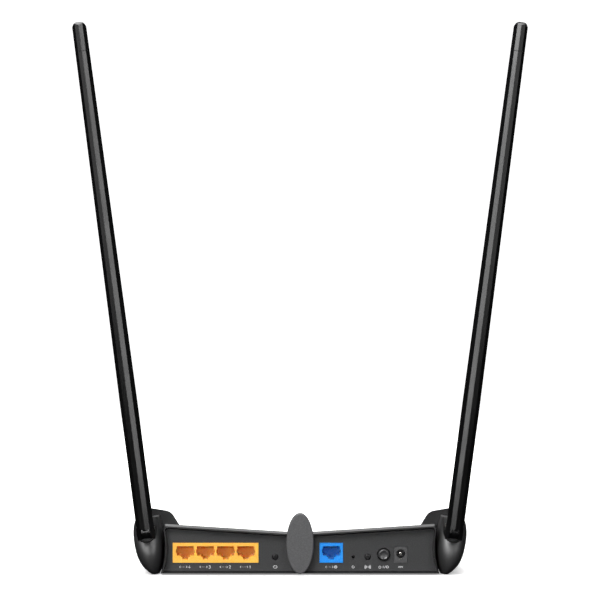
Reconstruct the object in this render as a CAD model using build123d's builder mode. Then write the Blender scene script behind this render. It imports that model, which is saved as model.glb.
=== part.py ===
"""Wireless router: a winged case, a recessed connector panel and two hinged antennas that lean outwards.

Millimetres. The rear of the router faces -Y, +X is to the right seen from behind, +Z is up.
The origin lies on the table, under the middle of the whole router with its antennas up.
"""
import os
from math import cos, radians, sin

from build123d import *

os.makedirs("parts", exist_ok=True)

# Case
case_depth = 144.0
rear_y = -65.25                      # rear edge of the hood
front_y = rear_y + case_depth
shoulder_y = rear_y + 27.0           # rear faces of the two raised shoulders
floor_z = 1.2                        # underside of the case, held off the table by the feet
wall = 2.0
split_z = 12.0                       # parting line of the two case halves
seam = 0.25
hood_end = (95.0, 35.9)              # upper rear corner of the hood (x, z)
hood_middle_z = 29.9
hood_slope = 0.15                    # fall of the hood towards the front
hood_thickness = 2.75
lip_thickness = 1.5
lip_bow = 1.8
hood_bevel = 1.7                     # sloping rear edge along the top of the hood
side_bevel = 0.6
floor_bevel = 0.3
sill = 0.9                           # edge of the tray under the connector panel

# Connector panel
panel_y = rear_y + 6.0               # outer face, recessed behind the hood
panel_thickness = 2.0
panel_back = panel_y + panel_thickness
jack_face_y = panel_y - 0.5
jack_z, jack_height, jack_depth = 8.3, 13.7, 21.0
port_pitch = 13.97
lan_x, lan_width = -58.3, 59.2
wan_x, wan_width = 21.6, 16.1
lan_ports = [lan_x + (i - 1.5) * port_pitch for i in range(4)]
dc_x, dc_z = 69.5, 14.5
dc_width, dc_height, dc_depth = 9.0, 10.8, 14.0
wps_x, reset_x, wifi_x, power_x = -17.1, 36.7, 46.8, 57.8
small_button_z, power_z = 12.2, 13.9

# Circuit board
board_z = 6.7                        # underside
board_thickness = 1.6
board_top = board_z + board_thickness
board_left, board_right = -88.5, 82.0
board_rear, board_front = panel_back + 0.6, 30.0

# Antennas
antenna_x, antenna_z = 105.6, 31.0   # connector axis
lean = 7.5                           # outward lean at rest, degrees
pin_y = rear_y - 8.0                 # fold pin
antenna_length = 352.0               # fold pin to tip
tip_length = 20.3
rod_width, rod_tip_width = 12.0, 9.6
rod_depth = 11.3
straight_length = 90.0               # the rod tapers above this
pod_rear, pod_front = rear_y - 2.0, shoulder_y - 0.7
cup_back = rear_y + 16.0             # inner wall of the cup, which carries the jack
cup_x, cup_radius, cup_bottom = 106.1, 7.3, 22.4


def export(part, name):
    """Label a finished piece and write it."""
    part.label = name
    export_step(part, f"parts/{name}.step")


def export_pair(part, noun):
    """Write a piece of the left side and its mirror image on the right."""
    export(part, f"left_{noun}")
    with BuildPart() as twin:
        mirror(part, about=Plane.YZ)
    export(twin.part, f"right_{noun}")


# ---------------------------------------------------------------- case volume

def case_section(y, side, crest, valley, middle, inset=0.0):
    """Outline across the case at y: hull-shaped sides, raised shoulders and a shallow wing between."""
    base = side - 14.5
    shoulder_x, valley_x = 0.788 * side + 0.7 * inset, 0.73 * side + 0.7 * inset
    side, crest, valley, middle = side - inset, crest - inset, valley - inset, middle - inset
    bottom = floor_z + inset
    side_z = 0.55 * crest
    hull = (base + 0.74 * (side - base), bottom + 0.33 * (side_z - bottom))
    shoulder_outer, shoulder_inner = (side - 2.4, crest + 0.8), (shoulder_x, crest - 2.9)
    with BuildSketch(Plane.XZ.offset(-y)) as outline:
        with BuildLine():
            Line((0, bottom), (base, bottom))
            ThreePointArc((base, bottom), hull, (side, side_z))
            FilletPolyline((side, side_z), shoulder_outer, shoulder_inner, (valley_x, valley), (0, middle),
                           radius=[0.2 * crest, 0.18 * crest, 3.0])
            mirror(about=Plane.YZ)
        make_face()
    return outline.sketch


def hood_section(y, inset_top=0.0, inset_side=0.0, inset_bottom=0.0):
    """Outline of the case between the pods at y: gently bowed side lips, top falling towards the front."""
    drop = hood_slope * (y - rear_y) + inset_top
    end_x, end_z = hood_end[0] - inset_side, hood_end[1] - drop
    foot_x, bottom = end_x + 1.0, floor_z + inset_bottom
    with BuildSketch(Plane.XZ.offset(-y)) as outline:
        with BuildLine():
            Line((0, bottom), (foot_x, bottom))
            ThreePointArc((foot_x, bottom), (end_x - lip_bow, 18.0), (end_x, end_z))
            Line((end_x, end_z), (0, hood_middle_z - drop))
            mirror(about=Plane.YZ)
        make_face()
        fillet(outline.vertices().sort_by(Axis.Y)[-2:], 2.0)
    return outline.sketch


def plan_outline(inset=0.0):
    """Plan of the case: square at the rear, rounded and slightly bowed at the front."""
    half = 116.0 - inset
    front = front_y - inset
    with BuildSketch() as outline:
        with BuildLine():
            Line((-half, front - 26), (-half, rear_y - 1))
            Line((-half, rear_y - 1), (half, rear_y - 1))
            Line((half, rear_y - 1), (half, front - 26))
            ThreePointArc((half, front - 26), (half - 9.5, front - 10.5), (half - 30, front - 5))
            ThreePointArc((half - 30, front - 5), (0, front), (-half + 30, front - 5))
            ThreePointArc((-half + 30, front - 5), (-half + 9.5, front - 10.5), (-half, front - 26))
        make_face()
    return outline.sketch


def side_outline(inset=0.0):
    """Side view of the case: a rounded nose at the front edge."""
    front = front_y - inset
    with BuildSketch(Plane.YZ) as outline:
        with BuildLine():
            Polyline((front - 24, 50), (rear_y - 1, 50), (rear_y - 1, 0), (front - 9, floor_z + inset))
            ThreePointArc((front - 9, floor_z + inset), (front - 2.2, 4 + inset / 2), (front, 8.5))
            ThreePointArc((front, 8.5), (front - 1.6, 12.4 - inset / 2), (front - 7, 15.4 - inset))
            Line((front - 7, 15.4 - inset), (front - 24, 50))
        make_face()
    return outline.sketch


hood_fall = hood_slope * (shoulder_y - rear_y)
shoulder_side = 114.6
valley_share = 0.73 * shoulder_side / hood_end[0]
valley_z = hood_middle_z + valley_share * (hood_end[1] - hood_middle_z) - hood_fall
stations = [                          # y, side, crest, valley, middle
    (shoulder_y, shoulder_side, 44.6, valley_z, hood_middle_z - hood_fall),
    (5.0, 113.4, 31.5, 23.6, 20.4),
    (front_y, 109.0, 15.6, 13.2, 12.4),
]

with BuildPart() as case_block:
    loft([case_section(*station) for station in stations])
    extrude(plan_outline(), amount=60, mode=Mode.INTERSECT)
    extrude(side_outline(), amount=130, both=True, mode=Mode.INTERSECT)
    loft([hood_section(rear_y, hood_bevel, side_bevel, floor_bevel),
          hood_section(rear_y + hood_bevel), hood_section(shoulder_y)], ruled=True)

with BuildPart() as case_cavity:
    loft([case_section(shoulder_y + wall, *stations[0][1:], inset=wall),
          case_section(*stations[1], inset=wall),
          case_section(*stations[2], inset=wall)])
    extrude(side_outline(wall), amount=130, both=True, mode=Mode.INTERSECT)
    extrude(plan_outline(wall), amount=60, mode=Mode.INTERSECT)
    loft([hood_section(rear_y, hood_thickness, lip_thickness, sill),
          hood_section(shoulder_y + 8, hood_thickness, lip_thickness, wall)])

# ---------------------------------------------------------------- centre spine

spine_rear = (9.45, 20.8, 22.0)       # half width, half height, middle height of the oval rear end
spine_front = (6.5, 9.5, 5.3)
spine_front_y = front_y - 6.0
light_slot = (3.2, 44.0)
light_y = 8.0                         # middle of the light window


def spine_oval(y, half_width, half_height, middle, inset=0.0):
    """One oval section of the spine."""
    with BuildSketch(Plane.XZ.offset(-y)) as oval:
        with Locations((0, middle)):
            Ellipse(half_width - inset, half_height - inset)
    return oval.sketch


def spine_rear_boss(gap=0.0):
    """The oval boss that stands between the hood edge and the panel."""
    return spine_oval(rear_y - 0.8, *spine_rear, inset=-gap)


with BuildPart() as spine_volume:
    loft([spine_oval(panel_y - 0.2, *spine_rear), spine_oval(spine_front_y, *spine_front)])

with BuildPart() as below_case:
    Box(60, 200, split_z, align=(Align.CENTER, Align.CENTER, Align.CENTER))

with BuildPart() as centre_spine:
    add(spine_volume.part)
    add(case_block.part, mode=Mode.SUBTRACT)
    add(below_case.part, mode=Mode.SUBTRACT)
    loft([spine_oval(panel_y + 2, *spine_rear, inset=1.8),
          spine_oval(spine_front_y - 1.8, *spine_front, inset=1.8)], mode=Mode.SUBTRACT)
    extrude(spine_rear_boss(), amount=rear_y - 0.8 - panel_y)
    fillet(centre_spine.faces().sort_by(Axis.Y)[0].edges(), 0.8)
    with Locations((0, light_y, 0)):
        Box(*light_slot, 60, align=(Align.CENTER, Align.CENTER, Align.MIN), mode=Mode.SUBTRACT)
export(centre_spine.part, "centre_spine")

status_lights = [light_y + (i - 3) * 6.0 for i in range(7)]
light_leg_bottom = board_top + 2.4
with BuildPart() as outer_volume:
    add(spine_volume.part)
    add(case_block.part)

with BuildPart() as led_light_guide:
    with Locations((0, light_y, split_z + 4)):
        Box(light_slot[0] - 0.1, light_slot[1] - 0.1, 40, align=(Align.CENTER, Align.CENTER, Align.MIN))
    with Locations(*[(0, y, light_leg_bottom) for y in status_lights]):
        Cylinder(1.2, 10, align=(Align.CENTER, Align.CENTER, Align.MIN))
    add(outer_volume.part, mode=Mode.INTERSECT)
export(led_light_guide.part, "led_light_guide")

# ---------------------------------------------------------------- case halves

case_screws_at = [(93.0, -22.0), (-93.0, -22.0), (86.0, 55.0), (-86.0, 55.0)]
boss_radius = 3.6
screw_radius = 1.3
screw_bite = 3.0                     # depth of the hole in the cover's boss
screw_head_z = floor_z + 1.8

with BuildPart() as top_cover:
    add(case_block.part)
    add(case_cavity.part, mode=Mode.SUBTRACT)
    with Locations(*[(x, y, split_z) for x, y in case_screws_at]):
        Cylinder(boss_radius, 40, align=(Align.CENTER, Align.CENTER, Align.MIN))
    add(case_block.part, mode=Mode.INTERSECT)
    with Locations((0, 0, split_z)):
        Box(300, 200, 60, align=(Align.CENTER, Align.CENTER, Align.MIN), mode=Mode.INTERSECT)
    with Locations(*[(x, y, split_z) for x, y in case_screws_at]):
        Cylinder(screw_radius, screw_bite, align=(Align.CENTER, Align.CENTER, Align.MIN), mode=Mode.SUBTRACT)
    extrude(spine_rear_boss(0.1), amount=rear_y - 0.8 - panel_y, mode=Mode.SUBTRACT)
    with Locations((0, light_y, 0)):
        Box(light_slot[0], light_slot[1], 60, align=(Align.CENTER, Align.CENTER, Align.MIN), mode=Mode.SUBTRACT)
    with Locations(*[Location((side * antenna_x, shoulder_y, antenna_z), (90, 0, 0)) for side in (-1, 1)]):
        Cylinder(3.5, 12, mode=Mode.SUBTRACT)
export(top_cover.part, "top_cover")

keyhole_spacing = 127.0
with BuildPart() as bottom_case:
    add(case_block.part)
    add(case_cavity.part, mode=Mode.SUBTRACT)
    with Locations(*[(x, y, floor_z) for x, y in case_screws_at]):
        Cylinder(boss_radius, 20, align=(Align.CENTER, Align.CENTER, Align.MIN))
    board_posts = [(-84.0, -20.0), (78.0, -20.0), (-60.0, 24.0), (60.0, 24.0)]
    with Locations(*[(x, y, floor_z) for x, y in board_posts]):
        Cylinder(3.0, board_z - floor_z, align=(Align.CENTER, Align.CENTER, Align.MIN))
    with Locations((0, 0, split_z - seam)):
        Box(300, 200, 60, align=(Align.CENTER, Align.CENTER, Align.MIN), mode=Mode.SUBTRACT)
    with Locations(*[(x, y, floor_z) for x, y in case_screws_at]):
        Cylinder(1.6, 20, align=(Align.CENTER, Align.CENTER, Align.MIN), mode=Mode.SUBTRACT)
        Cylinder(2.8, 4, align=(Align.CENTER, Align.CENTER, Align.MIN), mode=Mode.SUBTRACT)
    with Locations(*[(x, y, board_z - 4.0) for x, y in board_posts]):
        Cylinder(1.0, 10, align=(Align.CENTER, Align.CENTER, Align.MIN), mode=Mode.SUBTRACT)
    with BuildSketch(Plane.XY) as vents:
        with Locations((0, 5)):
            with GridLocations(6.0, 34.0, 19, 2):
                SlotOverall(26, 2.4, rotation=90)
    extrude(amount=floor_z + wall + 0.5, mode=Mode.SUBTRACT)
    with BuildSketch(Plane.XY) as keyholes:
        with Locations(*[(side * keyhole_spacing / 2, 52) for side in (-1, 1)]):
            Circle(4.0)
        with Locations(*[(side * keyhole_spacing / 2, 57) for side in (-1, 1)]):
            SlotOverall(14, 4.2, rotation=90)
    extrude(amount=floor_z + wall + 0.5, mode=Mode.SUBTRACT)
    extrude(spine_rear_boss(0.1), amount=rear_y - 0.8 - panel_y, mode=Mode.SUBTRACT)
export(bottom_case.part, "bottom_case")

with BuildPart() as case_screws:
    with Locations(*[(x, y, screw_head_z) for x, y in case_screws_at]):
        Cylinder(2.5, 2.2, align=(Align.CENTER, Align.CENTER, Align.MIN))
        Cylinder(screw_radius, split_z + screw_bite - 0.5 - screw_head_z,
                 align=(Align.CENTER, Align.CENTER, Align.MIN))
    with Locations(*[(x, y, screw_head_z) for x, y in case_screws_at]):
        Box(0.6, 3.0, 1.6, mode=Mode.SUBTRACT)
        Box(3.0, 0.6, 1.6, mode=Mode.SUBTRACT)
export(case_screws.part, "case_screws")

feet_at = [(84.0, -46.0), (-84.0, -46.0), (84.0, 38.0), (-84.0, 38.0)]
with BuildPart() as rubber_feet:
    with Locations(*[(x, y, 0) for x, y in feet_at]):
        Cylinder(6.0, floor_z, align=(Align.CENTER, Align.CENTER, Align.MIN))
    fillet(rubber_feet.edges().group_by(Axis.Z)[0], 0.5)
export(rubber_feet.part, "rubber_feet")

with BuildPart() as rating_label:
    with BuildSketch(Plane.XY.offset(floor_z)):
        with Locations((0, -38)):
            RectangleRounded(62, 26, 2)
    extrude(amount=-0.25)
export(rating_label.part, "rating_label")

# ---------------------------------------------------------------- connector panel

small_hole, power_hole, reset_hole = 2.25, 4.65, 1.2


def facing_rear(x, y, z):
    """A place whose local Z points out of the rear of the router."""
    return Location((x, y, z), (90, 0, 0))


with BuildPart() as rear_panel:
    extrude(hood_section(panel_back, hood_thickness + 0.1, lip_thickness + 0.1, sill + 0.4), amount=panel_thickness)
    jack_middle = jack_z + jack_height / 2
    with Locations((lan_x, panel_y, jack_middle)):
        Box(lan_width + 0.2, 10, jack_height + 0.2, mode=Mode.SUBTRACT)
    with Locations((wan_x, panel_y, jack_middle)):
        Box(wan_width + 0.2, 10, jack_height + 0.2, mode=Mode.SUBTRACT)
    with Locations((dc_x, panel_y, board_top + dc_height / 2)):
        Box(dc_width + 0.2, 10, dc_height + 0.2, mode=Mode.SUBTRACT)
    with Locations(facing_rear(wps_x, panel_y, small_button_z), facing_rear(wifi_x, panel_y, small_button_z)):
        Cylinder(small_hole, 10, mode=Mode.SUBTRACT)
    with Locations(facing_rear(reset_x, panel_y, small_button_z)):
        Cylinder(reset_hole, 10, mode=Mode.SUBTRACT)
    with Locations(facing_rear(power_x, panel_y, power_z)):
        Cylinder(power_hole, 10, mode=Mode.SUBTRACT)
export(rear_panel.part, "rear_panel")


def port_opening(x):
    """Opening of one modular jack: body, side notches and the two steps for the latch."""
    with Locations((x, 16.4)):
        Rectangle(11.7, 6.6)
    with Locations((x, 16.2)):
        Rectangle(12.9, 2.6)
    with Locations((x, 13.1)):
        Rectangle(6.3, 1.1, align=(Align.CENTER, Align.MAX))
        Rectangle(4.0, 2.6, align=(Align.CENTER, Align.MAX))


def jack_housing(x, width, ports):
    """A moulded housing with one cavity for each port."""
    with BuildPart() as housing:
        with Locations((x, jack_face_y, jack_z)):
            Box(width, jack_depth, jack_height, align=(Align.CENTER, Align.MIN, Align.MIN))
        with BuildSketch(Plane.XZ.offset(-jack_face_y)):
            for port in ports:
                port_opening(port)
        extrude(amount=-14, mode=Mode.SUBTRACT)
    return housing.part


export(jack_housing(lan_x, lan_width, lan_ports), "lan_jack")
export(jack_housing(wan_x, wan_width, [wan_x]), "wan_jack")

cavity_top, cavity_back = 19.7, jack_face_y + 14.0
contact_pitch, contact_width = 1.02, 0.45


def port_contacts(ports):
    """Eight springy wires in each port, lying on the cavity roof and bent down towards the back."""
    with BuildPart() as contacts:
        for port in ports:
            for i in range(8):
                with BuildSketch(Plane.YZ.offset(port + (i - 3.5) * contact_pitch)):
                    with BuildLine():
                        Polyline((jack_face_y + 2.2, cavity_top), (cavity_back - 1.5, cavity_top),
                                 (cavity_back - 1.5, cavity_top - 0.45), (jack_face_y + 4.5, cavity_top - 0.45),
                                 (cavity_back - 3.0, cavity_top - 2.3), (cavity_back - 3.2, cavity_top - 2.6),
                                 (jack_face_y + 2.2, cavity_top - 0.45), close=True)
                    make_face()
                extrude(amount=contact_width / 2, both=True)
    return contacts.part


export(port_contacts(lan_ports), "lan_contacts")
export(port_contacts([wan_x]), "wan_contacts")

dc_bore = 3.1
with BuildPart() as dc_jack:
    with Locations((dc_x, jack_face_y, board_top)):
        Box(dc_width, dc_depth, dc_height, align=(Align.CENTER, Align.MIN, Align.MIN))
    fillet(dc_jack.edges().filter_by(Axis.Y).group_by(Axis.Z)[-1], 1.0)
    with BuildSketch(Plane.XZ.offset(-jack_face_y)):
        with Locations((dc_x, dc_z)):
            Circle(dc_bore)
        with Locations((dc_x, dc_z - dc_bore)):
            Rectangle(1.8, 1.6)
    extrude(amount=-10.5, mode=Mode.SUBTRACT)
export(dc_jack.part, "dc_jack")

with BuildPart() as dc_centre_pin:
    with Locations(facing_rear(dc_x, jack_face_y + 10.5, dc_z)):
        Cylinder(1.05, 9.0, align=(Align.CENTER, Align.CENTER, Align.MIN))
    fillet(dc_centre_pin.edges().group_by(Axis.Y)[0], 0.5)
export(dc_centre_pin.part, "dc_centre_pin")

with BuildPart() as dc_spring_contact:
    with BuildSketch(Plane.YZ.offset(dc_x)):
        with BuildLine():
            Polyline((jack_face_y + 1.5, dc_z - dc_bore - 0.8), (jack_face_y + 10.5, dc_z - dc_bore - 0.8),
                     (jack_face_y + 10.5, dc_z - dc_bore - 0.4), (jack_face_y + 6.0, dc_z - dc_bore + 0.35),
                     (jack_face_y + 1.5, dc_z - dc_bore - 0.4), close=True)
        make_face()
    extrude(amount=0.7, both=True)
export(dc_spring_contact.part, "dc_spring_contact")

# ---------------------------------------------------------------- buttons and switches

press_travel, power_travel = 0.8, 1.8


def small_button(x):
    """A moulded cap with a retaining collar and a thin stem."""
    with BuildPart() as button:
        with Locations(facing_rear(x, panel_back + 0.5, small_button_z)):
            Cylinder(1.9, panel_thickness + 1.0, align=(Align.CENTER, Align.CENTER, Align.MIN))
        fillet(button.edges().group_by(Axis.Y)[0], 0.5)
        with Locations(facing_rear(x, panel_back + 1.2, small_button_z)):
            Cylinder(2.7, 0.9, align=(Align.CENTER, Align.CENTER, Align.MIN))
        with Locations(facing_rear(x, panel_back + 4.6, small_button_z)):
            Cylinder(0.9, 4.0, align=(Align.CENTER, Align.CENTER, Align.MIN))
    return button.part


def tact_switch(x):
    """Right-angle push switch on the board, with a bore for the stem that presses it."""
    with BuildPart() as switch:
        with Locations((x, panel_back + 3.4, board_top)):
            Box(6.2, 4.4, 7.2, align=(Align.CENTER, Align.MIN, Align.MIN))
        chamfer(switch.edges().filter_by(Axis.Y).group_by(Axis.Z)[-1], 0.6)
        with Locations(facing_rear(x, panel_back + 6.6, small_button_z)):
            Cylinder(1.25, 5.0, align=(Align.CENTER, Align.CENTER, Align.MIN), mode=Mode.SUBTRACT)
    return switch.part


export(small_button(wps_x), "wps_button")
export(small_button(wifi_x), "wifi_button")
export(tact_switch(wps_x), "wps_switch")
export(tact_switch(wifi_x), "wifi_switch")
export(tact_switch(reset_x), "reset_switch")

with BuildPart() as reset_plunger:
    with Locations(facing_rear(reset_x, panel_back + 4.6, small_button_z)):
        Cylinder(0.9, 4.2, align=(Align.CENTER, Align.CENTER, Align.MIN))
    fillet(reset_plunger.edges().group_by(Axis.Y)[0], 0.3)
export(reset_plunger.part, "reset_plunger")

power_front = panel_y - 2.4
with BuildPart() as power_button:
    with Locations(facing_rear(power_x, panel_back + 1.8, power_z)):
        Cylinder(4.0, panel_back + 1.8 - power_front, align=(Align.CENTER, Align.CENTER, Align.MIN))
    fillet(power_button.edges().group_by(Axis.Y)[0], 1.4)
    with Locations(Location((power_x, power_front - 5.2, power_z))):
        Sphere(6.0, mode=Mode.SUBTRACT)
    with Locations(facing_rear(power_x, panel_back + 7.4, power_z)):
        Cylinder(1.5, 6.0, align=(Align.CENTER, Align.CENTER, Align.MIN))
export(power_button.part, "power_button")

with BuildPart() as power_switch:
    with Locations((power_x, panel_back + 4.4, board_top)):
        Box(8.4, 12.0, 11.0, align=(Align.CENTER, Align.MIN, Align.MIN))
    chamfer(power_switch.edges().filter_by(Axis.Y).group_by(Axis.Z)[-1], 0.8)
    with Locations(facing_rear(power_x, panel_back + 10.0, power_z)):
        Cylinder(1.85, 8.0, align=(Align.CENTER, Align.CENTER, Align.MIN), mode=Mode.SUBTRACT)
export(power_switch.part, "power_switch")

# ---------------------------------------------------------------- circuit board

with BuildPart() as circuit_board:
    with BuildSketch(Plane.XY.offset(board_z)):
        with Locations(((board_left + board_right) / 2, (board_rear + board_front) / 2)):
            RectangleRounded(board_right - board_left, board_front - board_rear, 2.0)
        with Locations(*board_posts):
            Circle(1.6, mode=Mode.SUBTRACT)
    extrude(amount=board_thickness)
export(circuit_board.part, "circuit_board")

with BuildPart() as board_screws:
    with Locations(*[(x, y, board_top) for x, y in board_posts]):
        Cylinder(2.6, 1.6, align=(Align.CENTER, Align.CENTER, Align.MIN))
        Cylinder(1.0, 4.5, align=(Align.CENTER, Align.CENTER, Align.MAX))
    with Locations(*[(x, y, board_top + 1.6) for x, y in board_posts]):
        Box(0.6, 3.2, 1.4, mode=Mode.SUBTRACT)
        Box(3.2, 0.6, 1.4, mode=Mode.SUBTRACT)
export(board_screws.part, "board_screws")


def chip(x, y, size_x, size_y, height, name, base=board_top):
    """A moulded package standing on the board."""
    with BuildPart() as package:
        with Locations((x, y, base)):
            Box(size_x, size_y, height, align=(Align.CENTER, Align.CENTER, Align.MIN))
        chamfer(package.edges().group_by(Axis.Z)[-1], 0.15 * height)
    export(package.part, name)


chip(lan_x, -28.0, 28.0, 12.5, 5.8, "lan_transformer")
chip(wan_x, -28.0, 16.0, 12.5, 5.8, "wan_transformer")
chip(-22.0, -12.0, 19.0, 19.0, 1.4, "main_processor")
chip(-46.0, -10.0, 20.0, 11.5, 1.1, "memory_chip")
chip(-36.0, 12.0, 6.0, 8.0, 1.6, "flash_chip")
chip(-22.0, 6.0, 9.0, 3.6, 3.2, "clock_crystal")

with BuildPart() as heat_sink:
    with Locations((-22.0, -12.0, board_top + 1.4)):
        Box(22, 22, 6.0, align=(Align.CENTER, Align.CENTER, Align.MIN))
    with Locations((-22.0, -12.0, board_top + 2.9)):
        with GridLocations(3.5, 1, 6, 1):
            Box(1.8, 24, 6.0, align=(Align.CENTER, Align.CENTER, Align.MIN), mode=Mode.SUBTRACT)
export(heat_sink.part, "heat_sink")

shield_at = [(-66.0, 8.0), (54.0, 8.0)]
with BuildPart() as rf_shields:
    with Locations(*[(x, y, board_top) for x, y in shield_at]):
        Box(26, 22, 3.2, align=(Align.CENTER, Align.CENTER, Align.MIN))
        Box(25.4, 21.4, 2.9, align=(Align.CENTER, Align.CENTER, Align.MIN), mode=Mode.SUBTRACT)
    fillet(rf_shields.edges().filter_by(Axis.Z), 0.25)
export(rf_shields.part, "rf_shields")

with BuildPart() as capacitors:
    with Locations(*[(x, y, board_top) for x, y in [(40, -30), (51, -30), (62, -30), (40, -18)]]):
        Cylinder(3.15, 8.0, align=(Align.CENTER, Align.CENTER, Align.MIN))
    chamfer(capacitors.edges().group_by(Axis.Z)[-1], 0.4)
export(capacitors.part, "capacitors")

with BuildPart() as power_inductors:
    with Locations(*[(x, y, board_top) for x, y in [(66, -14), (54, -14)]]):
        Box(8, 8, 4.2, align=(Align.CENTER, Align.CENTER, Align.MIN))
    fillet(power_inductors.edges().filter_by(Axis.Z), 2.0)
export(power_inductors.part, "power_inductors")

with BuildPart() as status_leds:
    with Locations(*[(0, y, board_top) for y in status_lights]):
        Box(2.0, 1.2, 0.9, align=(Align.CENTER, Align.CENTER, Align.MIN))
export(status_leds.part, "status_leds")

# ---------------------------------------------------------------- antenna pods and connectors

pod_levels = [                        # height, outer side, inner side, set back from the rearmost point
    (0.4, -103.6, -97.2, 6.5),
    (5.0, -108.3, -96.1, 2.0),
    (10.5, -111.6, -95.3, 0.3),
    (15.0, -113.2, -94.9, 0.0),
    (22.0, -114.8, -94.9, 1.3),
    (31.0, -115.5, -96.3, 4.4),
    (46.0, -114.6, -99.6, 11.0),
]


def pod_level(z, outer, inner, set_back):
    """Plan of a pod at height z: an arched rear between its outer and inner side."""
    rear = pod_rear + set_back
    side_y = rear + 9.5
    with BuildSketch(Plane.XY.offset(z)) as outline:
        with BuildLine():
            Spline((outer, side_y), (0.56 * outer + 0.44 * inner, rear), (inner, side_y),
                   tangents=[(0, -1), (0, 1)], tangent_scalars=[1.5, 1.5])
            Polyline((inner, side_y), (inner, pod_front), (outer, pod_front), (outer, side_y))
        make_face()
    return outline.sketch


with BuildPart() as antenna_pod:
    loft([pod_level(*level) for level in pod_levels])
    with BuildSketch(Plane.XZ) as pod_crest:
        Polygon((-125, 0), (-90, 0), (-90, 41.2), (-98.6, 39.4), (-113.0, 37.0), (-125, 31.0), align=None)
    extrude(amount=100, both=True, mode=Mode.INTERSECT)
    with BuildSketch(Plane.XZ.offset(1 - pod_rear)):
        with Locations((-cup_x, cup_bottom + cup_radius)):
            Circle(cup_radius)
            Rectangle(2 * cup_radius, 40, align=(Align.CENTER, Align.MIN))
    extrude(amount=pod_rear - 1 - cup_back, mode=Mode.SUBTRACT)
    with Locations(facing_rear(-antenna_x, cup_back + 2.5, antenna_z)):
        Cylinder(3.25, 8, mode=Mode.SUBTRACT)
    with Locations(facing_rear(-antenna_x, pod_front, antenna_z)):
        Cylinder(5.4, pod_front - cup_back - 2.5, align=(Align.CENTER, Align.CENTER, Align.MIN),
                 mode=Mode.SUBTRACT)
export_pair(antenna_pod.part, "antenna_pod")

jack_inner_y = cup_back + 2.5
jack_end_y = cup_back - 9.5
with BuildPart() as antenna_jack:
    with Locations(facing_rear(-antenna_x, jack_inner_y, antenna_z)):
        Cylinder(3.175, jack_inner_y - jack_end_y, align=(Align.CENTER, Align.CENTER, Align.MIN))
    with BuildSketch(Plane.XZ.offset(-jack_inner_y)):
        with Locations((-antenna_x, antenna_z)):
            RegularPolygon(4.6, 6)
    extrude(amount=-2.0)
    with Locations(facing_rear(-antenna_x, jack_inner_y + 2.0, antenna_z)):
        Cylinder(1.6, 2.5, align=(Align.CENTER, Align.CENTER, Align.MAX))
    with Locations(facing_rear(-antenna_x, jack_end_y, antenna_z)):
        Cylinder(2.3, 6, mode=Mode.SUBTRACT)
    with Locations(facing_rear(-antenna_x, jack_end_y + 3.5, antenna_z)):
        Cylinder(0.7, 3, align=(Align.CENTER, Align.CENTER, Align.MIN))
export_pair(antenna_jack.part, "antenna_jack")

with BuildPart() as jack_washer:
    with Locations(facing_rear(-antenna_x, cup_back, antenna_z)):
        Cylinder(4.9, 0.5, align=(Align.CENTER, Align.CENTER, Align.MIN))
        Cylinder(3.25, 2, mode=Mode.SUBTRACT)
export_pair(jack_washer.part, "jack_washer")

with BuildPart() as jack_nut:
    with BuildSketch(Plane.XZ.offset(-(cup_back - 0.5))):
        with Locations((-antenna_x, antenna_z)):
            RegularPolygon(4.6, 6)
            Circle(3.175, mode=Mode.SUBTRACT)
    extrude(amount=2.0)
export_pair(jack_nut.part, "jack_nut")

nut_front_y, nut_rear_y = cup_back - 3.4, cup_back - 12.4
collar_y = nut_rear_y - 0.5
with BuildPart() as coupling_nut:
    with BuildSketch(Plane.XZ.offset(-nut_front_y)):
        with Locations((-antenna_x, antenna_z)):
            RegularPolygon(5.4, 6)
    extrude(amount=nut_front_y - nut_rear_y)
    with Locations(facing_rear(-antenna_x, nut_rear_y, antenna_z)):
        Cylinder(5.0, 20, mode=Mode.INTERSECT)
    with Locations(facing_rear(-antenna_x, nut_front_y + 0.5, antenna_z)):
        Cylinder(3.2, 8.0, align=(Align.CENTER, Align.CENTER, Align.MIN), mode=Mode.SUBTRACT)
    with Locations(facing_rear(-antenna_x, nut_rear_y, antenna_z)):
        Cylinder(2.7, 6.0, mode=Mode.SUBTRACT)
export_pair(coupling_nut.part, "coupling_nut")

# ---------------------------------------------------------------- knuckle, pin and rod

tongue_width, fork_gap, fork_clear = 5.0, 5.6, 5.3
tongue_radius, cheek_radius = 4.9, 5.5
fold_pin_radius = 1.3
lean_x, lean_z = sin(radians(lean)), cos(radians(lean))
rod_plane = Plane(origin=(-antenna_x, pin_y, antenna_z), x_dir=(lean_z, 0, lean_x), z_dir=(-lean_x, 0, lean_z))
rod_front = Plane(origin=(-antenna_x, pin_y, antenna_z), x_dir=(lean_z, 0, lean_x), z_dir=(0, -1, 0))
rod_side = Plane(origin=(-antenna_x, pin_y, antenna_z), x_dir=(0, 1, 0), z_dir=(lean_z, 0, lean_x))

with BuildPart() as antenna_knuckle:
    with Locations(facing_rear(-antenna_x, collar_y, antenna_z)):
        Cylinder(5.5, 4.0, align=(Align.CENTER, Align.CENTER, Align.MIN))
    fillet(antenna_knuckle.edges(), 0.5)
    with Locations(facing_rear(-antenna_x, nut_rear_y + 1.8, antenna_z)):
        Cylinder(2.4, 3.0, align=(Align.CENTER, Align.CENTER, Align.MIN))
    with BuildSketch(rod_side):
        Circle(tongue_radius)
        Rectangle(collar_y - 3.0 - pin_y, 2 * tongue_radius, align=(Align.MIN, Align.CENTER))
        Circle(fold_pin_radius + 0.06, mode=Mode.SUBTRACT)
    extrude(amount=tongue_width / 2, both=True)
export_pair(antenna_knuckle.part, "antenna_knuckle")

with BuildPart() as fold_pin:
    with BuildSketch(rod_side):
        Circle(fold_pin_radius)
    extrude(amount=5.2, both=True)
export_pair(fold_pin.part, "fold_pin")


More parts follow.
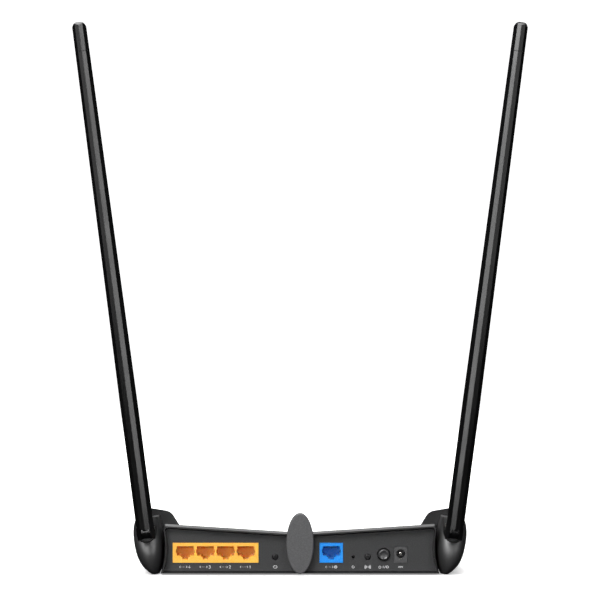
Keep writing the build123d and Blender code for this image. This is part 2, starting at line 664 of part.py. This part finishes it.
def rod_section(height):
    """Ten-sided section of the rod, with a ridge at the front and the rear."""
    taper = max(0.0, height - straight_length) / (antenna_length - straight_length)
    half = (rod_width + taper * (rod_tip_width - rod_width)) / 2
    deep = rod_depth / 2 * half / (rod_width / 2)
    with BuildSketch(rod_plane.offset(height)) as section:
        with BuildLine():
            Polyline((0, deep), (0.56 * half, 0.79 * deep), (half, 0.24 * deep), (half, -0.24 * deep),
                     (0.56 * half, -0.79 * deep), (0, -deep))
            mirror(about=Plane.YZ)
        make_face()
        fillet(section.vertices(), 0.5)
    return section.sketch


tip_start = antenna_length - tip_length
tip_width = rod_tip_width + 0.4
bore_radius, bore_start, bore_end = 2.9, 14.0, tip_start - 6.0
with BuildPart() as antenna_sleeve:
    loft([rod_section(-6.0), rod_section(straight_length), rod_section(tip_start - 0.3)], ruled=True)
    with BuildSketch(rod_side):
        Circle(cheek_radius)
        Rectangle(14, antenna_length, align=(Align.CENTER, Align.MIN))
    extrude(amount=8, both=True, mode=Mode.INTERSECT)
    with BuildSketch(rod_side):
        with BuildLine():
            Polyline((-6.5, 4.9), (-6.5, -7.0), (-2.4, -7.0), close=True)
        make_face()
    extrude(amount=8, both=True, mode=Mode.SUBTRACT)
    with BuildSketch(rod_side):
        Circle(fork_clear)
        Rectangle(14, 14, align=(Align.CENTER, Align.MAX))
        Rectangle(14, 2 * fork_clear, align=(Align.MIN, Align.CENTER))
    extrude(amount=fork_gap / 2, both=True, mode=Mode.SUBTRACT)
    with BuildSketch(rod_side):
        Circle(fold_pin_radius)
    extrude(amount=5.2, both=True, mode=Mode.SUBTRACT)
    with BuildSketch(rod_plane.offset(bore_start)):
        Circle(bore_radius)
    extrude(amount=bore_end - bore_start, mode=Mode.SUBTRACT)
export_pair(antenna_sleeve.part, "antenna_sleeve")

with BuildPart() as antenna_tip:
    loft([rod_section(tip_start), rod_section(antenna_length)], ruled=True)
    for view in (rod_side, rod_front):
        with BuildSketch(view):
            with Locations((0, antenna_length)):
                RectangleRounded(tip_width, 100, 4.9, align=(Align.CENTER, Align.MAX))
        extrude(amount=8, both=True, mode=Mode.INTERSECT)
export_pair(antenna_tip.part, "antenna_tip")

with BuildPart() as radiator:
    with BuildSketch(rod_plane.offset(bore_start)):
        Circle(bore_radius)
    extrude(amount=4)
    with BuildSketch(rod_plane.offset(bore_start + 4)):
        Circle(2.2)
    extrude(amount=150)
    with BuildSketch(rod_plane.offset(bore_start + 154)):
        Circle(1.0)
    extrude(amount=bore_end - bore_start - 156)
    with BuildSketch(rod_plane.offset(bore_start + 220)):
        Circle(2.2)
    extrude(amount=40)
export_pair(radiator.part, "radiator")

# ---------------------------------------------------------------- coax leads inside the case

lead_radius = 0.9
lead_start_y = jack_inner_y + 4.5
with BuildPart() as coax_lead:
    with BuildLine() as lead_path:
        lead_points = [(-antenna_x, lead_start_y, antenna_z), (-antenna_x, shoulder_y + 14, antenna_z),
                       (-88.0, shoulder_y + 32, 19.0), (-66.0, 9.0, 17.0), (-66.0, 9.0, board_top + 3.2)]
        FilletPolyline(*lead_points, radius=[9.0, 14.0, 4.0])
    with BuildSketch(Plane(origin=lead_path.line @ 0, z_dir=lead_path.line % 0)):
        Circle(lead_radius)
    sweep()
export_pair(coax_lead.part, "coax_lead")
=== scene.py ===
import math

import bmesh
import bpy
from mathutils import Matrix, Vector
from mathutils.bvhtree import BVHTree


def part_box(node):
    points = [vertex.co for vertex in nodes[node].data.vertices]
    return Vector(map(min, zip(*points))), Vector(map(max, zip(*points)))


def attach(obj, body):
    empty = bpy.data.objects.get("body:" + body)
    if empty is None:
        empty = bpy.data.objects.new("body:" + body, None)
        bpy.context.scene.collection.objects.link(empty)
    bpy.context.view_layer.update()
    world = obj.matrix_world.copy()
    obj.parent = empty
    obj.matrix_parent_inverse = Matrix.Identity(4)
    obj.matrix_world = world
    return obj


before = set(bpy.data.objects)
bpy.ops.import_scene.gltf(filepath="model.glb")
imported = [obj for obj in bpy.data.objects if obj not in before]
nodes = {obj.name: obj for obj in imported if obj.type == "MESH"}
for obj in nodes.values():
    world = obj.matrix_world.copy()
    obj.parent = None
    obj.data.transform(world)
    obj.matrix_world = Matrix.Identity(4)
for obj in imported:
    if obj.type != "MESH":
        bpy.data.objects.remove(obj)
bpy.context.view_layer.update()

# ------------------------------------------------------------------ case halves
# The case is two injection-moulded ABS shells: a flat tray, and a winged cover that screws down on it.
# Both come out of a lightly spark-eroded tool, so the black is matte with a fine grain, and broad
# patches differ a little in sheen where the plastic cooled and where hands have been.
case_black = (0.0035, 0.0035, 0.0038, 1)
case_grain = 2400.0
patch_scale = 28.0


def new_material(name):
    """A node material, its tree and its Principled shader."""
    material = bpy.data.materials.new(name)
    material.use_nodes = True
    return material, material.node_tree, material.node_tree.nodes["Principled BSDF"]


def noise(tree, scale, detail=2.0, rough=0.5, stretch=(1, 1, 1)):
    """Noise in the piece's own coordinates, scale in waves per metre."""
    place = tree.nodes.new("ShaderNodeTexCoord")
    mapping = tree.nodes.new("ShaderNodeMapping")
    mapping.inputs["Scale"].default_value = stretch
    texture = tree.nodes.new("ShaderNodeTexNoise")
    texture.inputs["Scale"].default_value = scale
    texture.inputs["Detail"].default_value = detail
    texture.inputs["Roughness"].default_value = rough
    tree.links.new(place.outputs["Object"], mapping.inputs["Vector"])
    tree.links.new(mapping.outputs["Vector"], texture.inputs["Vector"])
    return texture.outputs["Fac"]


def vary(tree, source, low, high, target, start=0.3, end=0.7):
    """Spread a noise between two values and feed it to a socket."""
    spread = tree.nodes.new("ShaderNodeMapRange")
    spread.inputs["From Min"].default_value = start
    spread.inputs["From Max"].default_value = end
    spread.inputs["To Min"].default_value = low
    spread.inputs["To Max"].default_value = high
    tree.links.new(source, spread.inputs["Value"])
    tree.links.new(spread.outputs["Result"], target)


def shade(tree, source, dark, light, target, start=0.3, end=0.7):
    """Run a colour from dark to light along a noise and feed it to a socket."""
    ramp = tree.nodes.new("ShaderNodeValToRGB")
    first, last = ramp.color_ramp.elements
    first.position, first.color = start, dark
    last.position, last.color = end, light
    tree.links.new(source, ramp.inputs["Fac"])
    tree.links.new(ramp.outputs["Color"], target)


def relief(tree, shader, source, height):
    """Raise the surface along a noise by a height in metres."""
    bump = tree.nodes.new("ShaderNodeBump")
    bump.inputs["Distance"].default_value = height
    tree.links.new(source, bump.inputs["Height"])
    tree.links.new(bump.outputs["Normal"], shader.inputs["Normal"])


def lighter(colour, factor):
    """The same colour, brighter."""
    return tuple(min(1.0, channel * factor) for channel in colour[:3]) + (1,)


def moulded(name, colour, roughness, grain, height, speckle=1.5, sheen_patch=0.05):
    """Moulded plastic with tool grain, and broad patches of slightly different sheen."""
    material, tree, shader = new_material(name)
    fine = noise(tree, grain, 2.0, 0.6)
    broad = noise(tree, patch_scale, 4.0, 0.6)
    shade(tree, fine, colour, lighter(colour, speckle), shader.inputs["Base Color"], 0.4, 0.72)
    vary(tree, broad, roughness - sheen_patch, roughness + sheen_patch, shader.inputs["Roughness"])
    relief(tree, shader, fine, height)
    return material


def finish_with(material, *names):
    """Give CAD nodes their finished material."""
    for name in names:
        mesh = nodes[name].data
        mesh.materials.clear()
        mesh.materials.append(material)


def both_sides(noun):
    """The left and right node of a paired piece."""
    return f"left_{noun}", f"right_{noun}"


finish_with(moulded("case_matte", case_black, 0.40, case_grain, 0.00002), "top_cover", "bottom_case")

# ------------------------------------------------------------------ feet, screws and rating label
# Four die-cut rubber feet are stuck under the tray, four zinc-plated self-tapping screws pull the
# halves together, and a blank silver label sits in the middle of the underside.
rubber_black = (0.016, 0.016, 0.016, 1)
zinc_grey = (0.50, 0.50, 0.49, 1)
label_silver = (0.55, 0.56, 0.57, 1)


def metal(name, colour, roughness, brush=(1, 1, 1), grain=900.0, height=0.000008):
    """Plated or drawn metal with fine brush marks and uneven polish."""
    material, tree, shader = new_material(name)
    marks = noise(tree, grain, 3.0, 0.6, brush)
    shade(tree, marks, colour, lighter(colour, 1.25), shader.inputs["Base Color"])
    vary(tree, marks, roughness - 0.06, roughness + 0.08, shader.inputs["Roughness"])
    relief(tree, shader, marks, height)
    shader.inputs["Metallic"].default_value = 1.0
    return material


zinc = metal("zinc_plate", zinc_grey, 0.36)
finish_with(moulded("foot_rubber", rubber_black, 0.78, 3200.0, 0.00005), "rubber_feet")
finish_with(zinc, "case_screws")
finish_with(moulded("label_stock", label_silver, 0.35, 900.0, 0.000006, 1.12), "rating_label")

# ------------------------------------------------------------------ connector panel
# The recessed panel is a separate charcoal moulding with a coarser spark texture than the case, so
# it looks greyer. It clips in behind the hood, between the side lips.
panel_charcoal = (0.017, 0.0173, 0.018, 1)
finish_with(moulded("panel_texture", panel_charcoal, 0.50, 1500.0, 0.00005, 1.7), "rear_panel")

# ------------------------------------------------------------------ centre spine and light guide
# The spine is a dull grey-black trim that runs from front to rear and ends in a flat oval. A
# frosted light guide lies in its slot, over seven status lights on the board.
spine_grey = (0.052, 0.052, 0.054, 1)
guide_shadow = (0.42, 0.47, 0.50, 1)
guide_frost = (0.55, 0.60, 0.63, 1)
finish_with(moulded("spine_satin", spine_grey, 0.52, 1900.0, 0.00005, 1.5), "centre_spine")

frosted, frosted_tree, frosted_shader = new_material("frosted_guide")
frost = noise(frosted_tree, 1200.0, 3.0, 0.6)
shade(frosted_tree, frost, guide_shadow, guide_frost, frosted_shader.inputs["Base Color"])
vary(frosted_tree, frost, 0.28, 0.4, frosted_shader.inputs["Roughness"])
frosted_shader.inputs["Transmission Weight"].default_value = 0.35
frosted_shader.inputs["Subsurface Weight"].default_value = 0.1
finish_with(frosted, "led_light_guide")

# ------------------------------------------------------------------ network jacks
# The two jacks are glossy glass-filled nylon, yellow for the four local ports and blue for the one
# that goes out. Eight gold-flashed spring wires lie under the roof of each cavity.
jack_yellow = (0.94, 0.43, 0.065, 1)
jack_blue = (0.014, 0.24, 0.72, 1)
contact_gold = (0.80, 0.56, 0.22, 1)
gold = metal("gold_flash", contact_gold, 0.28)


def glossy_nylon(name, colour):
    """Coloured nylon with a wet gloss and faint flow marks."""
    material, tree, shader = new_material(name)
    flow = noise(tree, 90.0, 3.0, 0.5, (1, 1, 3))
    shade(tree, flow, colour, lighter(colour, 1.12), shader.inputs["Base Color"])
    vary(tree, noise(tree, 1500.0), 0.24, 0.34, shader.inputs["Roughness"])
    relief(tree, shader, flow, 0.00001)
    shader.inputs["Subsurface Weight"].default_value = 0.35
    shader.inputs["Subsurface Scale"].default_value = 1.0
    shader.inputs["Subsurface Radius"].default_value = (0.004, 0.0015, 0.0008)
    return material


finish_with(glossy_nylon("yellow_nylon", jack_yellow), "lan_jack")
finish_with(glossy_nylon("blue_nylon", jack_blue), "wan_jack")
finish_with(gold, "lan_contacts", "wan_contacts")

# ------------------------------------------------------------------ power inlet
# A square moulded inlet with a round keyed bore, a bright centre pin and a leaf spring below it.
inlet_black = (0.05, 0.05, 0.051, 1)
bright_nickel = (0.72, 0.70, 0.66, 1)
nickel = metal("nickel_plate", bright_nickel, 0.22)
finish_with(moulded("inlet_nylon", inlet_black, 0.36, 1700.0, 0.00002), "dc_jack")
finish_with(nickel, "dc_centre_pin", "dc_spring_contact")

# ------------------------------------------------------------------ buttons and switches
# Three moulded caps come through the panel: two small round ones and the domed power button, which
# has a dished middle. Behind them, and behind the reset plunger, sit the switches on the board.
power_cap_grey = (0.030, 0.030, 0.031, 1)
small_cap_black = (0.008, 0.008, 0.0085, 1)
switch_black = (0.018, 0.018, 0.018, 1)
finish_with(moulded("button_satin", power_cap_grey, 0.27, 2600.0, 0.000012), "power_button")
finish_with(moulded("small_button_satin", small_cap_black, 0.24, 2600.0, 0.000012),
            "wps_button", "wifi_button", "reset_plunger")
finish_with(moulded("switch_nylon", switch_black, 0.5, 1500.0, 0.00003),
            "wps_switch", "wifi_switch", "reset_switch", "power_switch")

# ------------------------------------------------------------------ printed marks
# Pale grey ink is pad-printed on the panel in one row under the jacks and buttons. The marks are
# plain numerals and the usual function symbols.
MM = 0.001
ink_thickness = 0.03 * MM
ink_bite = 0.2
ray_start = 10 * MM
ink_width = 0.32 * MM
mark_height = 1.9 * MM
panel_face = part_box("rear_panel")[0][1]
mark_row_z = 5.3 * MM
toward_front = Vector((0, 1, 0))
to_the_right = Vector((1, 0, 0))
upward = Vector((0, 0, 1))


def arc(x, z, radius, start, end, steps=14):
    """Points along an arc, angles in degrees."""
    turns = [math.radians(start + (end - start) * i / steps) for i in range(steps + 1)]
    return [(x + radius * math.cos(turn), z + radius * math.sin(turn)) for turn in turns]


def dot(x, z, radius=0.07):
    """A dot, drawn as a short stroke."""
    return [(x - radius, z), (x + radius, z)]


def arrow_head(x, z, angle, size=0.28):
    """The two short strokes at the end of an arrow that points along an angle."""
    points = []
    for side in (150, 0, -150):
        turn = math.radians(angle + side)
        reach = size if side else 0
        points.append((x + reach * math.cos(turn), z + reach * math.sin(turn)))
    return points


# Every symbol is drawn in a square one unit high, centred on zero.
numerals = {
    "1": [[(-0.16, 0.30), (0.04, 0.48), (0.04, -0.48)]],
    "2": [arc(0, 0.22, 0.26, 165, -35, 10) + [(-0.27, -0.48), (0.29, -0.48)]],
    "3": [arc(0, 0.24, 0.24, 150, -80, 10), arc(0, -0.22, 0.27, 85, -150, 10)],
    "4": [[(0.12, -0.48), (0.12, 0.48), (-0.28, -0.18), (0.30, -0.18)]],
}
port_symbol = [
    [(-1.05, 0.34), (-1.4, 0), (-1.05, -0.34)],
    [(1.05, 0.34), (1.4, 0), (1.05, -0.34)],
    dot(-0.5, 0), dot(0, 0), dot(0.5, 0),
]
globe_symbol = [
    arc(0, 0, 0.5, 0, 360, 24), [(-0.5, 0), (0.5, 0)],
    [(0.22 * x / 0.5, z) for x, z in arc(0, 0, 0.5, 0, 360, 24)],
]
pairing_symbol = [
    arc(-0.25, 0, 0.42, 60, 290), arrow_head(-0.04, 0.38, -20),
    arc(0.25, 0, 0.42, -120, 110), arrow_head(0.04, -0.38, 160),
]
reset_symbol = [arc(0, 0, 0.42, 110, 400), arrow_head(-0.16, 0.40, 200), dot(0, 0)]
radio_symbol = [dot(0, 0, 0.1)] + [
    arc(0, 0, radius, centre - 42, centre + 42, 8) for radius in (0.42, 0.74, 1.06) for centre in (0, 180)
]
power_symbol = [arc(0, -0.06, 0.42, 125, 415), [(0, 0.0), (0, 0.5)]]
switch_symbol = [[(1.2, 0.42), (1.2, -0.42)], [(1.7, -0.46), (2.1, 0.46)], arc(2.75, 0, 0.4, 0, 360, 20)]
inlet_symbol = [[(-0.8, 0.18), (0.8, 0.18)], [(-0.8, -0.2), (-0.4, -0.2)], [(-0.2, -0.2), (0.2, -0.2)],
                [(0.4, -0.2), (0.8, -0.2)]]


def shifted(strokes, across):
    """The same strokes moved sideways."""
    return [[(x + across, z) for x, z in stroke] for stroke in strokes]


def skin_of(name):
    """The surface of a node, to lay ink on."""
    mesh = nodes[name].data
    return BVHTree.FromPolygons([vertex.co for vertex in mesh.vertices], [p.vertices for p in mesh.polygons])


def stroke_sides(points, width):
    """Left and right edges of a stroke of even width."""
    edges = []
    closed = (points[0][0] - points[-1][0]) ** 2 + (points[0][1] - points[-1][1]) ** 2 < 1e-6
    for i, point in enumerate(points):
        before = points[i - 1] if i else (points[-2] if closed else point)
        after = points[i + 1] if i + 1 < len(points) else (points[1] if closed else point)
        run = Vector((after[0] - before[0], after[1] - before[1])).normalized()
        side = Vector((-run.y, run.x)) * width / 2
        edges.append((Vector(point) + side, Vector(point) - side))
    return edges


def print_ink(name, marks, size, surface, inward, body, material):
    """Lay strokes on a surface as thin closed ribbons. Each mark is its place and its strokes."""
    ink_mesh = bmesh.new()
    for place, right, up, strokes in marks:
        for stroke in strokes:
            rings = []
            for pair in stroke_sides(stroke, ink_width / size):
                lower, upper = [], []
                for edge in pair:
                    start = place + right * edge.x * size + up * edge.y * size - inward * ray_start
                    hit = surface.ray_cast(start, inward)[0] or surface.find_nearest(start)[0]
                    lower.append(ink_mesh.verts.new(hit + inward * ink_bite * ink_thickness))
                    upper.append(ink_mesh.verts.new(hit - inward * ink_thickness))
                rings.append((lower[0], lower[1], upper[1], upper[0]))
            for ring, following in zip(rings, rings[1:]):
                for corner in range(4):
                    ink_mesh.faces.new((ring[corner], ring[corner - 3],
                                        following[corner - 3], following[corner]))
            ink_mesh.faces.new(rings[0][::-1])
            ink_mesh.faces.new(rings[-1])
    bmesh.ops.recalc_face_normals(ink_mesh, faces=ink_mesh.faces)
    mesh = bpy.data.meshes.new(name)
    ink_mesh.to_mesh(mesh)
    ink_mesh.free()
    mesh.materials.append(material)
    piece = bpy.data.objects.new(name, mesh)
    bpy.context.scene.collection.objects.link(piece)
    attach(piece, body)


ink_thin = (0.52, 0.52, 0.53, 1)
ink_full = (0.72, 0.72, 0.73, 1)
ink_grain = 3000.0
ink, ink_tree, ink_shader = new_material("pad_print_ink")
ink_patches = noise(ink_tree, ink_grain, 2.0, 0.6)
shade(ink_tree, ink_patches, ink_thin, ink_full, ink_shader.inputs["Base Color"])
vary(ink_tree, ink_patches, 0.45, 0.6, ink_shader.inputs["Roughness"])


def middle_x(name):
    """The middle of a node across the router."""
    low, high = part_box(name)
    return (low[0] + high[0]) / 2


port_pitch = 13.97 * MM
panel_marks = []
for port in range(4):
    strokes = shifted(port_symbol, -0.7) + shifted(numerals[str(4 - port)], 1.5)
    panel_marks.append((middle_x("lan_jack") + (port - 1.5) * port_pitch, strokes))
panel_marks += [
    (middle_x("wps_button"), pairing_symbol),
    (middle_x("wan_jack"), shifted(port_symbol, -0.7) + shifted(globe_symbol, 1.6)),
    (middle_x("reset_plunger"), reset_symbol),
    (middle_x("wifi_button"), radio_symbol),
    (middle_x("power_button"), shifted(power_symbol + switch_symbol, -1.4)),
    (middle_x("dc_jack"), inlet_symbol),
]
print_ink("panel_marks",
          [(Vector((x, panel_face, mark_row_z)), to_the_right, upward, strokes)
           for x, strokes in panel_marks],
          mark_height, skin_of("rear_panel"), toward_front, "case", ink)

# ------------------------------------------------------------------ power button icon
# The usual power symbol is pad-printed in darker ink in the dish of the power button, so it moves
# with the button.
button_icon_height = 2.4 * MM
dark_ink_full = (0.05, 0.05, 0.05, 1)
dark_ink_thin = (0.08, 0.08, 0.08, 1)
dark_ink, dark_tree, dark_shader = new_material("dark_ink")
shade(dark_tree, noise(dark_tree, ink_grain), dark_ink_full, dark_ink_thin, dark_shader.inputs["Base Color"])
dark_shader.inputs["Roughness"].default_value = 0.5
button_low, button_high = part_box("power_button")
button_middle = Vector((middle_x("power_button"), button_low[1], (button_low[2] + button_high[2]) / 2))
print_ink("power_icon", [(button_middle, to_the_right, upward, power_symbol)],
          button_icon_height, skin_of("power_button"), toward_front, "power_button", dark_ink)

# ------------------------------------------------------------------ status light icons
# A row of seven symbols stands beside the light guide on the spine, one for each light: power,
# radio, four ports and the line out. They read from the front of the router.
icon_height = 1.3 * MM
icon_gap = 1.5 * MM
half_light = 0.6 * MM
lights_low, lights_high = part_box("status_leds")
guide_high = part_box("led_light_guide")[1]
icon_x = guide_high[0] + icon_gap
icons = [power_symbol, radio_symbol, *(numerals[digit] for digit in "1234"), globe_symbol]
light_pitch = (lights_high[1] - lights_low[1] - 2 * half_light) / (len(icons) - 1)
icon_marks = []
for i, strokes in enumerate(icons):
    y = lights_low[1] + half_light + i * light_pitch
    icon_marks.append((Vector((icon_x, y, guide_high[2])), -to_the_right, -toward_front, strokes))
print_ink("light_icons", icon_marks, icon_height, skin_of("centre_spine"), -upward, "case", ink)

# ------------------------------------------------------------------ circuit board and what stands on it
# A two-sided glass-epoxy board under green solder mask. It carries the moulded chips, two tinned
# shields over the radio, sleeved capacitors, wound inductors and a finned aluminium heat sink.
mask_dark_green = (0.004, 0.060, 0.020, 1)
mask_green = (0.006, 0.085, 0.030, 1)
epoxy_black = (0.014, 0.014, 0.015, 1)
sleeve_blue_grey = (0.10, 0.11, 0.16, 1)
aluminium_grey = (0.55, 0.56, 0.58, 1)
tin_grey = (0.62, 0.62, 0.60, 1)
light_cream = (0.75, 0.78, 0.62, 1)

board, board_tree, board_shader = new_material("solder_mask")
weave = noise(board_tree, 700.0, 2.0, 0.5, (1, 3, 1))
shade(board_tree, weave, mask_dark_green, mask_green, board_shader.inputs["Base Color"])
vary(board_tree, noise(board_tree, 60.0), 0.22, 0.36, board_shader.inputs["Roughness"])
relief(board_tree, board_shader, weave, 0.00002)
finish_with(board, "circuit_board")
finish_with(zinc, "board_screws")

finish_with(moulded("chip_epoxy", epoxy_black, 0.55, 2200.0, 0.00002),
            "main_processor", "memory_chip", "flash_chip",
            "lan_transformer", "wan_transformer", "power_inductors")
finish_with(metal("capacitor_sleeve", sleeve_blue_grey, 0.3), "capacitors")
finish_with(metal("fin_aluminium", aluminium_grey, 0.34, (1, 12, 1)), "heat_sink")
finish_with(metal("tinned_shield", tin_grey, 0.30), "rf_shields", "clock_crystal")
finish_with(moulded("light_chip", light_cream, 0.2, 900.0, 0.000004, 1.1), "status_leds")

# ------------------------------------------------------------------ antenna pods
# The cups at the rear corners are a satin black moulding, finer and shinier than the case. They
# stand round the antenna connectors and shield them.
pod_black = (0.016, 0.016, 0.0165, 1)
pod_satin = moulded("pod_satin", pod_black, 0.44, 3000.0, 0.000006, 1.3, 0.04)
pod_satin.node_tree.nodes["Principled BSDF"].inputs["Specular IOR Level"].default_value = 1.0
finish_with(pod_satin, *both_sides("antenna_pod"))

# ------------------------------------------------------------------ antenna connectors and coax leads
# A gold-flashed jack comes through the back of each cup, clamped by a nickel nut and washer. The
# antenna's black nickel coupling nut screws on it, and a thin black coax runs inside to the board.
dark_nickel = (0.055, 0.055, 0.056, 1)
jacket_black = (0.012, 0.012, 0.012, 1)
finish_with(gold, *both_sides("antenna_jack"))
finish_with(nickel, *both_sides("jack_washer"), *both_sides("jack_nut"))
finish_with(metal("black_nickel", dark_nickel, 0.32), *both_sides("coupling_nut"))
finish_with(moulded("coax_jacket", jacket_black, 0.45, 2000.0, 0.00001), *both_sides("coax_lead"))

# ------------------------------------------------------------------ antennas
# Each antenna is a long ten-sided sleeve with a ridge at the front and the rear. It folds on a steel
# pin through its knuckle, a cap closes its tip, and a brass tube inside it is the radiator. The
# moulding is glossy black, with the faint long draw marks of its tool.
antenna_black = (0.0016, 0.0016, 0.0017, 1)
antenna_worn = (0.0028, 0.0028, 0.003, 1)
radiator_yellow = (0.62, 0.42, 0.16, 1)
finish_with(metal("radiator_brass", radiator_yellow, 0.35), *both_sides("radiator"))
finish_with(zinc, *both_sides("fold_pin"))

antenna_gloss, gloss_tree, gloss_shader = new_material("antenna_gloss")
draw_marks = noise(gloss_tree, 260.0, 3.0, 0.5, (1, 1, 0.06))
shade(gloss_tree, draw_marks, antenna_black, antenna_worn, gloss_shader.inputs["Base Color"])
vary(gloss_tree, noise(gloss_tree, 40.0, 4.0), 0.20, 0.27, gloss_shader.inputs["Roughness"])
relief(gloss_tree, gloss_shader, noise(gloss_tree, 2600.0), 0.000002)
finish_with(antenna_gloss, *both_sides("antenna_sleeve"), *both_sides("antenna_tip"),
            *both_sides("antenna_knuckle"))

# ------------------------------------------------------------------ studio
# A round white paper cove, a soft key from the upper left, a soft panel overhead, a softer one over
# the front, and upright strips whose reflections run down the antennas. The camera is level, on a
# long lens, and looks at the connector panel.
floor_reach, cove_radius, wall_top = 2.5, 1.0, 4.0
floor_rings = 5
cove_turns = range(10, 91, 10)
around = 96
cove_profile = [(floor_reach * (ring + 1) / floor_rings, 0.0) for ring in range(floor_rings)]
for angle in cove_turns:
    turn = math.radians(angle)
    cove_profile.append((floor_reach + cove_radius * math.sin(turn), cove_radius * (1 - math.cos(turn))))
cove_profile.append((floor_reach + cove_radius, wall_top))

cove_points = [(0, 0, 0)]
for radius, height in cove_profile:
    for step in range(around):
        turn = 2 * math.pi * step / around
        cove_points.append((radius * math.cos(turn), radius * math.sin(turn), height))
cove_faces = [(0, 1 + step, 1 + (step + 1) % around) for step in range(around)]
for ring in range(len(cove_profile) - 1):
    for step in range(around):
        near = 1 + ring * around + step
        beside = 1 + ring * around + (step + 1) % around
        cove_faces.append((near, near + around, beside + around, beside))
cove_mesh = bpy.data.meshes.new("sweep")
cove_mesh.from_pydata(cove_points, [], cove_faces)
for polygon in cove_mesh.polygons:
    polygon.use_smooth = True
sweep = bpy.data.objects.new("sweep", cove_mesh)
bpy.context.scene.collection.objects.link(sweep)

# The paper glows a little, more with distance, so it stays white while a shadow shows at the feet.
near_glow, far_glow = 0.4, 1.0
glow_start, glow_end = 0.25, 0.9
paper_shade = (0.88, 0.88, 0.88, 1)
paper_white = (0.90, 0.90, 0.90, 1)
paper, paper_tree, paper_shader = new_material("white_paper")
shade(paper_tree, noise(paper_tree, 3.0), paper_shade, paper_white, paper_shader.inputs["Base Color"])
paper_shader.inputs["Roughness"].default_value = 0.9
paper_shader.inputs["Emission Color"].default_value = (1, 1, 1, 1)
paper_place = paper_tree.nodes.new("ShaderNodeTexCoord")
paper_reach = paper_tree.nodes.new("ShaderNodeVectorMath")
paper_reach.operation = "LENGTH"
paper_tree.links.new(paper_place.outputs["Object"], paper_reach.inputs[0])
vary(paper_tree, paper_reach.outputs["Value"], near_glow, far_glow,
     paper_shader.inputs["Emission Strength"], glow_start, glow_end)
cove_mesh.materials.append(paper)
sweep.visible_glossy = False
sweep.visible_diffuse = False

room_glow = 0.015
world = bpy.data.worlds.new("studio")
world.use_nodes = True
background = world.node_tree.nodes["Background"]
background.inputs["Color"].default_value = (1, 1, 1, 1)
background.inputs["Strength"].default_value = room_glow
bpy.context.scene.world = world


def soft_light(name, place, target, size, brightness):
    """A rectangular soft light aimed at a point; brightness is its radiance."""
    data = bpy.data.lights.new(name, "AREA")
    data.shape = "RECTANGLE"
    data.size, data.size_y = size
    data.energy = brightness * math.pi * size[0] * size[1]
    light = bpy.data.objects.new(name, data)
    light.location = place
    light.rotation_euler = (Vector(target) - Vector(place)).to_track_quat("-Z", "Y").to_euler()
    light.visible_camera = False
    bpy.context.scene.collection.objects.link(light)


soft_light("key", (-0.6, -1.25, 1.05), (-0.04, -0.06, 0.03), (0.9, 0.7), 12.0)
soft_light("fill", (0.75, -1.3, 0.9), (0.02, -0.06, 0.03), (0.7, 0.6), 1.2)
soft_light("low_fill", (-0.3, -1.9, 0.3), (-0.03, -0.06, 0.03), (0.9, 0.3), 8.0)
soft_light("overhead", (-0.1, -0.05, 1.5), (0, 0, 0), (1.5, 1.1), 6.5)
soft_light("front", (0, 1.25, 1.0), (0, 0, 0.05), (1.6, 0.8), 3.0)
for side in (-1, 1):
    soft_light(f"near_strip_{side}", (side * 0.58, -1.04, 0.62), (-side * 0.13, -0.08, 0.2), (0.16, 1.2), 8.0)
    soft_light(f"far_strip_{side}", (side * 1.0, -0.9, 0.62), (side * 0.13, -0.08, 0.2), (0.16, 1.2), 1.6)

camera_distance = 1.5
view_width = 0.4128
eye_height = 0.1897
sensor_width = 36.0
rear_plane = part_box("top_cover")[0][1]
camera_data = bpy.data.cameras.new("camera")
camera_data.sensor_width = sensor_width
camera_data.lens = sensor_width * camera_distance / view_width
camera = bpy.data.objects.new("camera", camera_data)
camera.location = (0, rear_plane - camera_distance, eye_height)
camera.rotation_euler = (math.radians(90), 0, 0)
bpy.context.scene.collection.objects.link(camera)
bpy.context.scene.camera = camera
bpy.context.scene.view_settings.view_transform = "Standard"
